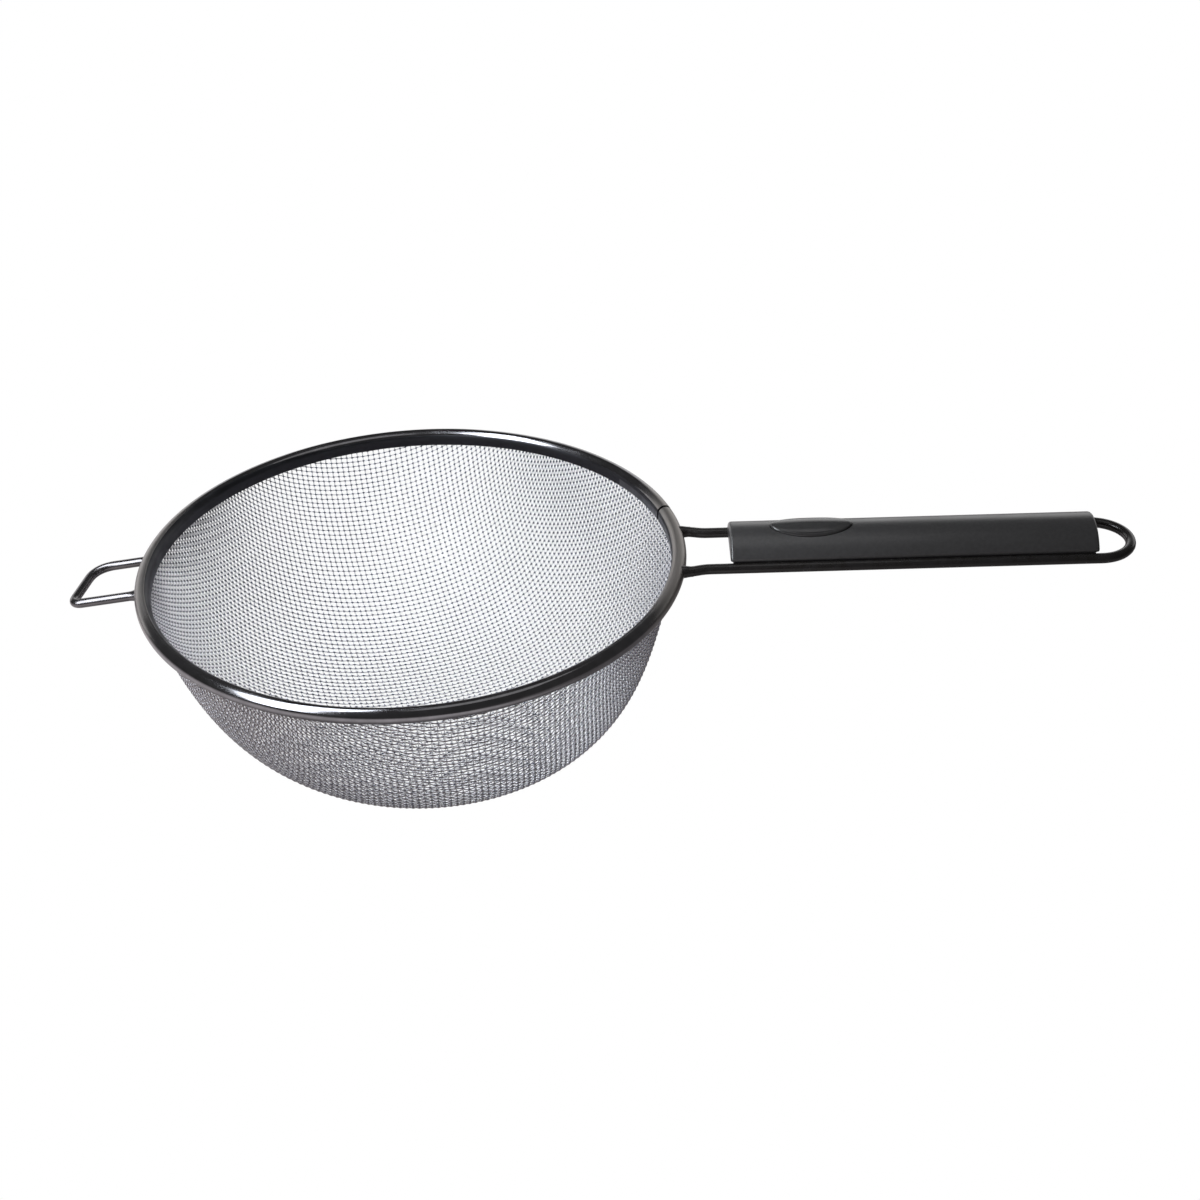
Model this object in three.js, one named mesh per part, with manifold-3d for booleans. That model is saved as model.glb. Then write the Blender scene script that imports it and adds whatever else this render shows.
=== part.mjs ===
// Long-handled wire-mesh sieve, in millimetres.
// +X runs from the bowl to the handle and +Z is up. The origin is the middle of the small flat
// that the bowl stands on.
import * as THREE from 'three';
import { mergeVertices } from 'three/addons/utils/BufferGeometryUtils.js';
import Module from 'manifold-3d';

const wasm = await Module();
wasm.setup();

// Gap kept between pieces that touch
const FIT = 0.3;

// Rim: a band rolled round a core wire, with the folded edge of the mesh between them
const RIM_RADIUS = 90.5;
const CORE_DIAMETER = 2.0;
const HEM_THICKNESS = 0.45;
const BAND_WALL = 0.5;
const BAND_SKIRT_DROP = 2.8;
const SEAM_ANGLE = THREE.MathUtils.degToRad(17.3);
const SEAM_GAP = 0.35;

// Bowl: a superellipse that narrows evenly below the rim's skirt by a share of its radius.
// Its lower part leans over towards the handle.
const BOWL_DEPTH = 75;
const BOWL_TAPER = 0.224;
const BOWL_RADIAL_POWER = 2.6;
const BOWL_DEPTH_POWER = 3.85;
const BOWL_LEAN = 6.6;
const BASE_FLAT_DEPTH = 0.4;

// Mesh: plain weave. One modelled strand stands for several wires laid side by side, so the net
// has the real one's share of open area and its weight of steel.
const WIRE_DIAMETER = 0.45;
const WIRE_PITCH_LENGTHWISE = 2.06;
const WIRE_PITCH_CROSSWISE = 1.75;
const WIRES_PER_STRAND = 6;
const WEAVE_ANGLE = THREE.MathUtils.degToRad(16);
const HEM_OVERLAP = 0.6;

// Handle: one wire bent into two legs and a hanging loop
const HANDLE_WIRE_DIAMETER = 3.5;
const LEG_SPACING = 23.8;
const LEG_SPLAY = 1.2;
const LEG_SPLAY_LENGTH = 9;
const LOOP_TIP = 242.7;

// Grip: a hollow moulding with an arched top, open below. Its side walls run down between the wires
// and snap over their inner sides, and cross ribs stiffen it.
const GRIP_START = 107.5;
const GRIP_LENGTH = 122.5;
const GRIP_WIDTH = 22.8;
const GRIP_CROWN = 9.1;
const GRIP_ARCH_RADIUS = 13.8;
const GRIP_EDGE_GAP = 0.3;
const GRIP_WALL = 2.4;
const GRIP_END_WALL = 2.6;
const GRIP_END_ROUND = 0.9;
const RIB_COUNT = 6;
const RIB_THICKNESS = 2.0;
const RIB_END_OFFSET = 5;
const SEAT_DROP = 1.2;
const SEAT_SNAP = 0.8;

// Thumb pad: an oval inlay that stands proud of the grip's arch
const PAD_OFFSET = 27.5;
const PAD_LENGTH = 27.3;
const PAD_WIDTH = 11.2;
const PAD_THICKNESS = 1.0;
const PAD_RISE = 1.2;
const PAD_EDGE_RISE = 0.25;
const PAD_DOME_HEIGHT = 4;

// Rest hook: a bent wire opposite the handle, a little longer on the near side
const HOOK_WIRE_DIAMETER = 3.2;
const HOOK_WIDTH = 22.6;
const HOOK_REACH_NEAR = 25.5;
const HOOK_REACH_FAR = 21.9;
const HOOK_BEND_NEAR = 4;
const HOOK_BEND_FAR = 7;
const HOOK_WELD_DROP = 3.9;
const HOOK_TIP_DROP = 7.3;

// Weld beads that join the wires to the band
const HANDLE_WELD_RADIUS = 2.9;
const HOOK_WELD_RADIUS = 2.7;

// Facet counts
const RIM_STEPS = 60;
const BAND_ARC_STEPS = 7;
const HEM_ARC_STEPS = 3;
const CORE_SIDES = 6;
const WIRE_SIDES = 8;
const HANDLE_STEPS = 76;
const HOOK_STEPS = 34;
const ARCH_STEPS = 18;
const PAD_STEPS = 32;
const ENVELOPE_SIDES = 12;
const BEAD_STEPS = 10;
const SETTLE_PASSES = 8;

// Sizes that follow from the ones above
const CORE_RADIUS = CORE_DIAMETER / 2;
const HEM_INNER = CORE_RADIUS + FIT;
const HEM_OUTER = HEM_INNER + HEM_THICKNESS;
const BAND_INNER = HEM_OUTER + FIT;
const BAND_OUTER = BAND_INNER + BAND_WALL;
const RIM_HEIGHT = BOWL_DEPTH - BASE_FLAT_DEPTH;
const MESH_RADIUS = RIM_RADIUS - HEM_INNER - HEM_THICKNESS / 3;
const STRAND_TOP = -BAND_SKIRT_DROP - FIT;
const STRAND_WIDTH = WIRES_PER_STRAND * WIRE_DIAMETER;
const STRAND_AREA = WIRES_PER_STRAND * Math.PI * (WIRE_DIAMETER / 2) ** 2;
const STRAND_DEPTH = 2 * STRAND_AREA / STRAND_WIDTH;
const PITCH_U = WIRE_PITCH_LENGTHWISE * WIRES_PER_STRAND;
const PITCH_V = WIRE_PITCH_CROSSWISE * WIRES_PER_STRAND;
const HANDLE_WIRE_RADIUS = HANDLE_WIRE_DIAMETER / 2;
const LEG_Y = LEG_SPACING / 2;
const GRIP_EDGE = HANDLE_WIRE_RADIUS + GRIP_EDGE_GAP;
const SEAT_INSET = Math.max(0, GRIP_WIDTH / 2 - LEG_Y + SEAT_SNAP);
const ARCH_CENTRE = GRIP_CROWN - GRIP_ARCH_RADIUS;

// Materials
const MATERIALS = {
  steelMesh: new THREE.MeshStandardMaterial({ color: 0xc6c7cd, roughness: 0.35, metalness: 1 }),
  blackSteel: new THREE.MeshStandardMaterial({ color: 0x2b2b2e, roughness: 0.18, metalness: 1 }),
  matteBlack: new THREE.MeshStandardMaterial({ color: 0x2c2c2e, roughness: 0.75, metalness: 0 }),
  satinBlack: new THREE.MeshStandardMaterial({ color: 0x252527, roughness: 0.45, metalness: 0 }),
};

// A flat path laid in space by a function of its two coordinates
class LaidCurve extends THREE.Curve {
  constructor(path, place) {
    super();
    this.path = path;
    this.place = place;
  }

  getPoint(t, target = new THREE.Vector3()) {
    const { x, y } = this.path.getPointAt(t);
    return target.copy(this.place(x, y));
  }
}

// Closed solid from a geometry, turned the right way out
function toSolid(geometry) {
  const bare = geometry.clone();
  bare.deleteAttribute('normal');
  bare.deleteAttribute('uv');
  const merged = mergeVertices(bare, 1e-5);
  const vertProperties = new Float32Array(merged.attributes.position.array);
  const triVerts = new Uint32Array(merged.index.array);
  if (signedVolume(vertProperties, triVerts) < 0) {
    triVerts.reverse();
  }
  const whole = triVerts.filter((_, k) => isWhole(triVerts, k - (k % 3)));
  return new wasm.Manifold(new wasm.Mesh({ numProp: 3, vertProperties, triVerts: whole }));
}

// Whether the triangle that starts at an index has three different corners
function isWhole(triVerts, k) {
  const [a, b, c] = triVerts.slice(k, k + 3);
  return a !== b && b !== c && c !== a;
}

function signedVolume(positions, triangles) {
  const corner = (k) => new THREE.Vector3().fromArray(positions, 3 * triangles[k]);
  let volume = 0;
  for (let k = 0; k < triangles.length; k += 3) {
    volume += corner(k).dot(corner(k + 1).cross(corner(k + 2))) / 6;
  }
  return volume;
}

function toGeometry(solid) {
  const mesh = solid.getMesh();
  const geometry = new THREE.BufferGeometry();
  geometry.setAttribute('position', new THREE.BufferAttribute(new Float32Array(mesh.vertProperties), 3));
  geometry.setIndex(new THREE.BufferAttribute(new Uint32Array(mesh.triVerts), 1));
  geometry.computeVertexNormals();
  return geometry;
}

function join(solids) {
  return solids.reduce((whole, solid) => whole.add(solid));
}

// Outlines and sweeps

// Points on a circle from one angle to another
function arcPoints(radius, from, to, steps) {
  return Array.from({ length: steps + 1 }, (_, k) => {
    const angle = from + (to - from) * k / steps;
    return new THREE.Vector2(radius * Math.cos(angle), radius * Math.sin(angle));
  });
}

function roundSection(radius, sides) {
  return new THREE.Shape(arcPoints(radius, 0, 2 * Math.PI, sides).slice(0, sides));
}

function sweep(section, curve, steps) {
  return new THREE.ExtrudeGeometry(section, { extrudePath: curve, steps, bevelEnabled: false });
}

function wire(curve, diameter, steps) {
  return toSolid(sweep(roundSection(diameter / 2, WIRE_SIDES), curve, steps));
}

// A section in (Y, Z) drawn out along X, with rounded ends where a radius is given
function alongX(section, start, length, endRound = 0) {
  const geometry = new THREE.ExtrudeGeometry(section, {
    depth: length - 2 * endRound,
    bevelEnabled: endRound > 0,
    bevelThickness: endRound,
    bevelSize: endRound,
    bevelOffset: -endRound,
    bevelSegments: 2,
  });
  geometry.translate(0, 0, endRound);
  const axes = [new THREE.Vector3(0, 1, 0), new THREE.Vector3(0, 0, 1), new THREE.Vector3(1, 0, 0)];
  geometry.applyMatrix4(new THREE.Matrix4().makeBasis(...axes));
  geometry.translate(start, 0, 0);
  return toSolid(geometry);
}

// Turned solid about Z from a closed outline of (radius, height) points
function turned(outline) {
  const geometry = new THREE.LatheGeometry([...outline, outline[0]], RIM_STEPS);
  geometry.rotateX(Math.PI / 2);
  return toSolid(geometry);
}

function boxSolid(low, high) {
  const size = high.clone().sub(low);
  const geometry = new THREE.BoxGeometry(size.x, size.y, size.z);
  geometry.translate(...low.clone().add(high).multiplyScalar(0.5).toArray());
  return toSolid(geometry);
}

// The rim's round section with a gap round it, and all that lies inside it, for coping the wires
// that meet the rim
function rimEnvelope() {
  const roll = new THREE.TorusGeometry(RIM_RADIUS, BAND_OUTER + FIT, ENVELOPE_SIDES, RIM_STEPS);
  const reach = RIM_RADIUS + BAND_OUTER / 2;
  const inside = new THREE.CylinderGeometry(reach, reach, 2 * BOWL_DEPTH, RIM_STEPS);
  inside.rotateX(Math.PI / 2);
  return toSolid(roll).add(toSolid(inside));
}

// Rim

// A rolled tube with a slot below: its inner wall runs down as a skirt inside the mesh,
// and its outer wall curls under to a lip outside the mesh.
function makeRimBand() {
  const lipAngle = Math.acos(CORE_RADIUS / BAND_OUTER) - Math.PI;
  const outline = [
    new THREE.Vector2(-BAND_OUTER, -BAND_SKIRT_DROP),
    ...arcPoints(BAND_OUTER, Math.PI, lipAngle, BAND_ARC_STEPS + 1),
    ...arcPoints(BAND_INNER, lipAngle, Math.PI, BAND_ARC_STEPS - 1),
    new THREE.Vector2(-BAND_INNER, -BAND_SKIRT_DROP),
  ];
  // The sweep's section axes point down and towards the bowl's axis
  const section = new THREE.Shape(outline.map((p) => new THREE.Vector2(-p.y, -p.x)));
  const halfGap = SEAM_GAP / RIM_RADIUS / 2;
  const circle = new THREE.Path();
  circle.absarc(0, 0, RIM_RADIUS, SEAM_ANGLE + halfGap, SEAM_ANGLE + 2 * Math.PI - halfGap);
  const curve = new LaidCurve(circle, (x, y) => new THREE.Vector3(x, y, 0));
  return sweep(section, curve, RIM_STEPS);
}

function makeCoreRing() {
  return new THREE.TorusGeometry(RIM_RADIUS, CORE_RADIUS, CORE_SIDES, RIM_STEPS);
}

// Mesh bowl

// Share of the bowl's depth that a height lies under the rim's skirt
function shareOfDepth(height) {
  return Math.max(0, -height - BAND_SKIRT_DROP) / (BOWL_DEPTH - BAND_SKIRT_DROP);
}

// How far a point is outside the upright bowl's outer surface, with the gradient of that measure
function bowlField(point) {
  const deep = shareOfDepth(point.z);
  const narrowing = 1 - BOWL_TAPER * deep;
  const radius = Math.hypot(point.x, point.y);
  const radial = radius / MESH_RADIUS / narrowing;
  const error = radial ** BOWL_RADIAL_POWER + deep ** BOWL_DEPTH_POWER - 1;
  const slope = BOWL_RADIAL_POWER * radial ** (BOWL_RADIAL_POWER - 1) / MESH_RADIUS / narrowing;
  const scale = radius > 0 ? slope / radius : 0;
  const taperFall = deep > 0 ? BOWL_RADIAL_POWER * radial ** BOWL_RADIAL_POWER * BOWL_TAPER / narrowing : 0;
  const depthFall = BOWL_DEPTH_POWER * deep ** (BOWL_DEPTH_POWER - 1);
  const fall = -(taperFall + depthFall) / (BOWL_DEPTH - BAND_SKIRT_DROP);
  return { error, gradient: new THREE.Vector3(point.x * scale, point.y * scale, fall) };
}

// Moves every point towards the handle, the more the deeper it lies
function leanOver(geometry) {
  const points = geometry.attributes.position;
  for (let k = 0; k < points.count; k += 1) {
    points.setX(k, points.getX(k) + BOWL_LEAN * shareOfDepth(points.getZ(k)) ** 2);
  }
}

function distanceFrom(origin, length) {
  return (point) => {
    const gradient = point.clone().sub(origin);
    const error = (gradient.lengthSq() - length * length) / 2;
    return { error, gradient };
  };
}

function onPlane(normal) {
  return (point) => ({ error: point.dot(normal), gradient: normal });
}

// Moves a guess until it meets three conditions at once
function settle(guess, conditions) {
  const point = guess.clone();
  for (let pass = 0; pass < SETTLE_PASSES; pass += 1) {
    const rows = conditions.map((condition) => condition(point));
    const slopes = rows.flatMap((row) => row.gradient.toArray());
    const errors = new THREE.Vector3(...rows.map((row) => row.error));
    point.sub(errors.applyMatrix3(new THREE.Matrix3(...slopes).invert()));
  }
  return point;
}

// Crossings of a net draped over the bowl: every side of every mesh keeps its length, so the
// meshes are square on the two main lines and shear to diamonds between them.
// Only one quarter is worked out, because the other three mirror it.
function drapeQuarter() {
  const net = [[new THREE.Vector3(0, 0, -BOWL_DEPTH)]];
  const stepU = new THREE.Vector3(PITCH_U, 0, 0);
  const stepV = new THREE.Vector3(0, PITCH_V, 0);
  const isLow = (point) => point !== undefined && point.z < STRAND_TOP;
  for (let j = 1; isLow(net[0][j - 1]); j += 1) {
    const below = net[0][j - 1];
    const guess = below.clone().add(j > 1 ? below.clone().sub(net[0][j - 2]) : stepV);
    net[0][j] = settle(guess, [distanceFrom(below, PITCH_V), onPlane(stepU), bowlField]);
  }
  for (let i = 1; isLow(net[i - 1][0]); i += 1) {
    const start = net[i - 1][0];
    const ahead = i > 1 ? start.clone().sub(net[i - 2][0]) : stepU;
    const onAxis = [distanceFrom(start, PITCH_U), onPlane(stepV), bowlField];
    net[i] = [settle(start.clone().add(ahead), onAxis)];
    for (let j = 1; isLow(net[i - 1][j - 1]); j += 1) {
      const [corner, left, below] = [net[i - 1][j - 1], net[i - 1][j], net[i][j - 1]];
      const guess = left.clone().add(below).sub(corner);
      net[i][j] = settle(guess, [distanceFrom(left, PITCH_U), distanceFrom(below, PITCH_V), bowlField]);
    }
  }
  return net;
}

// The strands as one net of triangular section, flat side out. Each crossing has four corners
// on the outer surface and one ridge point inside.
function makeStrands() {
  const quarter = drapeQuarter();
  const reach = Math.max(quarter.length, ...quarter.map((row) => row.length));
  const crossing = (i, j) => {
    const point = quarter[Math.abs(i)]?.[Math.abs(j)];
    return point && new THREE.Vector3(i < 0 ? -point.x : point.x, j < 0 ? -point.y : point.y, point.z);
  };
  const isJoined = (a, b) => a !== undefined && b !== undefined && Math.min(a.z, b.z) < STRAND_TOP;
  const positions = [];
  const triangles = [];
  const first = new Map();
  const key = (i, j) => `${i},${j}`;

  // Direction of a strand at a crossing, along the bowl's surface
  const direction = (i, j, di, dj, normal) => {
    const here = crossing(i, j);
    const ahead = crossing(i + di, j + dj) ?? here;
    const behind = crossing(i - di, j - dj) ?? here;
    return ahead.clone().sub(behind).projectOnPlane(normal).normalize();
  };

  for (let i = -reach; i <= reach; i += 1) {
    for (let j = -reach; j <= reach; j += 1) {
      const here = crossing(i, j);
      const neighbours = [[1, 0], [-1, 0], [0, 1], [0, -1]].map(([di, dj]) => crossing(i + di, j + dj));
      if (!neighbours.some((other) => isJoined(here, other))) {
        continue;
      }
      const normal = bowlField(here).gradient.normalize();
      const along = direction(i, j, 1, 0, normal);
      const across = direction(i, j, 0, 1, normal);
      const spread = STRAND_WIDTH / 2 / along.clone().cross(across).length();
      first.set(key(i, j), positions.length / 3);
      for (const [su, sv] of [[-1, -1], [-1, 1], [1, 1], [1, -1]]) {
        const corner = here.clone().addScaledVector(along, su * spread).addScaledVector(across, sv * spread);
        positions.push(...corner.toArray());
      }
      positions.push(...here.clone().addScaledVector(normal, -STRAND_DEPTH).toArray());
    }
  }

  const quad = (a, b, c, d) => triangles.push(a, b, c, a, c, d);
  const RIDGE = 4;
  // Joins side `near` of one crossing to side `far` of the next, each side given by its two corners
  const link = (from, to, [nearLow, nearHigh], [farLow, farHigh]) => {
    quad(from + nearLow, from + nearHigh, to + farHigh, to + farLow);
    quad(to + farHigh, from + nearHigh, from + RIDGE, to + RIDGE);
    quad(from + nearLow, to + farLow, to + RIDGE, from + RIDGE);
  };
  const SIDES = [
    { step: [1, 0], corners: [3, 2], facing: [0, 1] },
    { step: [0, 1], corners: [2, 1], facing: [3, 0] },
    { step: [-1, 0], corners: [1, 0] },
    { step: [0, -1], corners: [0, 3] },
  ];
  for (const [name, base] of first) {
    const [i, j] = name.split(',').map(Number);
    quad(base, base + 1, base + 2, base + 3);
    for (const { step, corners, facing } of SIDES) {
      const [di, dj] = step;
      const next = first.get(key(i + di, j + dj));
      if (next === undefined || !isJoined(crossing(i, j), crossing(i + di, j + dj))) {
        triangles.push(base + corners[0], base + corners[1], base + RIDGE);
      } else if (facing) {
        link(base, next, corners, facing);
      }
    }
  }
  const geometry = new THREE.BufferGeometry();
  geometry.setAttribute('position', new THREE.BufferAttribute(new Float32Array(positions), 3));
  geometry.setIndex(triangles);
  geometry.rotateZ(WEAVE_ANGLE);
  leanOver(geometry);
  return toSolid(geometry);
}

// The folded edge of the mesh: up inside the core wire, over it and down its outer side
function makeHem() {
  const foldEnd = -Math.PI / 6;
  const foot = STRAND_TOP - HEM_OVERLAP;
  const outline = [
    new THREE.Vector2(-HEM_OUTER, foot),
    ...arcPoints(HEM_OUTER, Math.PI, foldEnd, HEM_ARC_STEPS),
    ...arcPoints(HEM_INNER, foldEnd, Math.PI, HEM_ARC_STEPS),
    new THREE.Vector2(-HEM_INNER, foot),
  ];
  return turned(outline.map((p) => new THREE.Vector2(RIM_RADIUS + p.x, p.y)));
}

function makeMeshBowl() {
  const far = 2 * RIM_RADIUS;
  const above = boxSolid(new THREE.Vector3(-far, -far, STRAND_TOP), new THREE.Vector3(far, far, far));
  const below = boxSolid(new THREE.Vector3(-far, -far, -far), new THREE.Vector3(far, far, -RIM_HEIGHT));
  return toGeometry(makeStrands().subtract(above).subtract(below).add(makeHem()));
}

// Handle

// Down the near leg, round the loop and back along the far leg. The legs splay out at the rim.
function handleCurve() {
  const legEnd = Math.sqrt((RIM_RADIUS + BAND_OUTER) ** 2 - (LEG_Y + LEG_SPLAY) ** 2) - BAND_OUTER;
  const straight = legEnd + BAND_OUTER + LEG_SPLAY_LENGTH;
  const loopCentre = LOOP_TIP - LEG_Y;
  const bend = (legEnd + BAND_OUTER + straight) / 2;
  const path = new THREE.Path();
  path.moveTo(legEnd, -LEG_Y - LEG_SPLAY);
  path.lineTo(legEnd + BAND_OUTER, -LEG_Y - LEG_SPLAY);
  path.bezierCurveTo(bend, -LEG_Y - LEG_SPLAY, bend, -LEG_Y, straight, -LEG_Y);
  path.lineTo(loopCentre, -LEG_Y);
  path.absarc(loopCentre, 0, LEG_Y, -Math.PI / 2, Math.PI / 2);
  path.lineTo(straight, LEG_Y);
  path.bezierCurveTo(bend, LEG_Y, bend, LEG_Y + LEG_SPLAY, legEnd + BAND_OUTER, LEG_Y + LEG_SPLAY);
  path.lineTo(legEnd, LEG_Y + LEG_SPLAY);
  return new LaidCurve(path, (x, y) => new THREE.Vector3(x, y, 0));
}

function makeHandleWire() {
  const bent = wire(handleCurve(), HANDLE_WIRE_DIAMETER, HANDLE_STEPS);
  return toGeometry(bent.subtract(rimEnvelope()));
}

// Grip

// Arched outline in (Y, Z), drawn in from the grip's own outline by an inset, down to a floor
function gripSection(inset, floor) {
  const half = GRIP_WIDTH / 2 - inset;
  const radius = GRIP_ARCH_RADIUS - inset;
  const shoulder = Math.acos(Math.min(1, half / radius));
  const arch = arcPoints(radius, shoulder, Math.PI - shoulder, ARCH_STEPS);
  return new THREE.Shape([
    new THREE.Vector2(-half, floor),
    new THREE.Vector2(half, floor),
    ...arch.map((p) => new THREE.Vector2(p.x, p.y + ARCH_CENTRE)),
  ]);
}

// Everything within a distance of the arch's axis, over the grip's whole length
function archCore(radius) {
  const shift = (p) => new THREE.Vector2(p.x, p.y + ARCH_CENTRE);
  const circle = new THREE.Shape(arcPoints(radius, 0, 2 * Math.PI, 4 * ARCH_STEPS).slice(1).map(shift));
  return alongX(circle, GRIP_START, GRIP_LENGTH);
}

function padPrism(margin) {
  const outline = arcPoints(1, 0, 2 * Math.PI, PAD_STEPS).slice(1).map((p) => new THREE.Vector2(
    GRIP_START + PAD_OFFSET + p.x * (PAD_LENGTH / 2 + margin),
    p.y * (PAD_WIDTH / 2 + margin),
  ));
  const height = GRIP_CROWN + 2 * PAD_RISE;
  return toSolid(new THREE.ExtrudeGeometry(new THREE.Shape(outline), { depth: height, bevelEnabled: false }));
}

// The part of the grip that reaches down between the wires
function makeSeat(start, length) {
  return alongX(gripSection(SEAT_INSET, -SEAT_DROP), start, length);
}

function makeRibs() {
  const first = GRIP_START + RIB_END_OFFSET;
  const spacing = (GRIP_LENGTH - 2 * RIB_END_OFFSET - RIB_THICKNESS) / (RIB_COUNT - 1);
  return Array.from({ length: RIB_COUNT }, (_, k) => makeSeat(first + k * spacing, RIB_THICKNESS));
}

function makeGripShell() {
  const block = alongX(gripSection(0, -GRIP_CROWN), GRIP_START, GRIP_LENGTH, GRIP_END_ROUND);
  const far = 2 * (GRIP_START + GRIP_LENGTH);
  const outside = block.subtract(boxSolid(
    new THREE.Vector3(0, -far, -far),
    new THREE.Vector3(far, far, GRIP_EDGE),
  ));
  const seat = makeSeat(GRIP_START + GRIP_END_ROUND, GRIP_LENGTH - 2 * GRIP_END_ROUND);
  const hollowLength = GRIP_LENGTH - 2 * GRIP_END_WALL;
  const hollow = alongX(gripSection(GRIP_WALL, -GRIP_CROWN), GRIP_START + GRIP_END_WALL, hollowLength);
  const wires = wire(handleCurve(), HANDLE_WIRE_DIAMETER + 2 * FIT, HANDLE_STEPS);
  const pocket = padPrism(FIT).subtract(archCore(GRIP_ARCH_RADIUS - PAD_THICKNESS - FIT));
  const shell = join([outside.add(seat).subtract(hollow), ...makeRibs()]);
  return toGeometry(shell.subtract(wires).subtract(pocket));
}

// The pad's top is part of an ellipsoid that meets the grip's arch just above its surface
function makeThumbPad() {
  const top = GRIP_CROWN + PAD_RISE;
  const centre = top - PAD_DOME_HEIGHT;
  const sideEdge = ARCH_CENTRE + Math.sqrt(GRIP_ARCH_RADIUS ** 2 - (PAD_WIDTH / 2) ** 2) + PAD_EDGE_RISE;
  const endEdge = GRIP_CROWN + PAD_EDGE_RISE;
  const spread = (edge) => Math.sqrt(1 - ((edge - centre) / PAD_DOME_HEIGHT) ** 2);
  const dome = new THREE.SphereGeometry(1, PAD_STEPS, PAD_STEPS / 2);
  dome.scale(PAD_LENGTH / 2 / spread(endEdge), PAD_WIDTH / 2 / spread(sideEdge), PAD_DOME_HEIGHT);
  dome.translate(GRIP_START + PAD_OFFSET, 0, centre);
  const seat = archCore(GRIP_ARCH_RADIUS - PAD_THICKNESS);
  return toGeometry(padPrism(0).intersect(toSolid(dome)).subtract(seat));
}

// Rest hook

// Out along the near leg, across the end bar and back along the far leg, dipping towards its end
function hookCurve() {
  const half = HOOK_WIDTH / 2;
  const start = Math.sqrt(RIM_RADIUS ** 2 - half ** 2);
  const near = start + HOOK_REACH_NEAR;
  const far = start + HOOK_REACH_FAR;
  const path = new THREE.Path();
  path.moveTo(start, -half);
  path.lineTo(near - HOOK_BEND_NEAR, -half);
  path.quadraticCurveTo(near, -half, near - (near - far) * HOOK_BEND_NEAR / HOOK_WIDTH, HOOK_BEND_NEAR - half);
  path.lineTo(far + (near - far) * HOOK_BEND_FAR / HOOK_WIDTH, half - HOOK_BEND_FAR);
  path.quadraticCurveTo(far, half, far - HOOK_BEND_FAR, half);
  path.lineTo(start, half);
  const slope = (HOOK_TIP_DROP - HOOK_WELD_DROP) / HOOK_REACH_NEAR;
  const drop = (x) => HOOK_WELD_DROP + slope * (x - start);
  return new LaidCurve(path, (x, y) => new THREE.Vector3(-x, y, -drop(x)));
}

function makeHookWire() {
  return toGeometry(wire(hookCurve(), HOOK_WIRE_DIAMETER, HOOK_STEPS).subtract(rimEnvelope()));
}

// Welds

// A bead round a wire where it meets the band
function makeWeld(centre, radius, curve, diameter, steps) {
  const ball = new THREE.SphereGeometry(radius, BEAD_STEPS, BEAD_STEPS / 2 + 1);
  ball.translate(...centre.toArray());
  const wireRoom = wire(curve, diameter + 2 * FIT, steps);
  return toGeometry(toSolid(ball).subtract(wireRoom).subtract(rimEnvelope()));
}

function makeHandleWeld(side) {
  const y = side * (LEG_Y + LEG_SPLAY);
  const x = Math.sqrt((RIM_RADIUS + BAND_OUTER) ** 2 - y ** 2);
  const centre = new THREE.Vector3(x, y, 0);
  return makeWeld(centre, HANDLE_WELD_RADIUS, handleCurve(), HANDLE_WIRE_DIAMETER, HANDLE_STEPS);
}

function makeHookWeld(side) {
  const y = side * HOOK_WIDTH / 2;
  const x = Math.sqrt((RIM_RADIUS + BAND_OUTER) ** 2 - y ** 2);
  const centre = new THREE.Vector3(-x, y, -HOOK_WELD_DROP);
  return makeWeld(centre, HOOK_WELD_RADIUS, hookCurve(), HOOK_WIRE_DIAMETER, HOOK_STEPS);
}

// Assembly, with every piece placed about the centre of the rim
const sieve = new THREE.Group();
sieve.position.set(-BOWL_LEAN, 0, RIM_HEIGHT);

function addPiece(name, geometry, material) {
  const mesh = new THREE.Mesh(geometry, material);
  mesh.name = name;
  sieve.add(mesh);
}

addPiece('mesh_bowl', makeMeshBowl(), MATERIALS.steelMesh);
addPiece('rim_band', makeRimBand(), MATERIALS.blackSteel);
addPiece('rim_core_ring', makeCoreRing(), MATERIALS.blackSteel);
addPiece('handle_wire', makeHandleWire(), MATERIALS.blackSteel);
addPiece('handle_weld_near', makeHandleWeld(-1), MATERIALS.blackSteel);
addPiece('handle_weld_far', makeHandleWeld(1), MATERIALS.blackSteel);
addPiece('grip_shell', makeGripShell(), MATERIALS.matteBlack);
addPiece('thumb_pad', makeThumbPad(), MATERIALS.satinBlack);
addPiece('hook_wire', makeHookWire(), MATERIALS.blackSteel);
addPiece('hook_weld_near', makeHookWeld(-1), MATERIALS.blackSteel);
addPiece('hook_weld_far', makeHookWeld(1), MATERIALS.blackSteel);

export default sieve;
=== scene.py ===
# Dresses the sieve: every wire of the mesh, the rolled rim, the wires with their welds,
# the moulded grip and its thumb pad, in plain studio light.
# Shapes are worked out in millimetres about the rim's centre and placed in metres.
import math

import bmesh
import bpy
import numpy as np
from mathutils import Matrix, Vector


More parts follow.
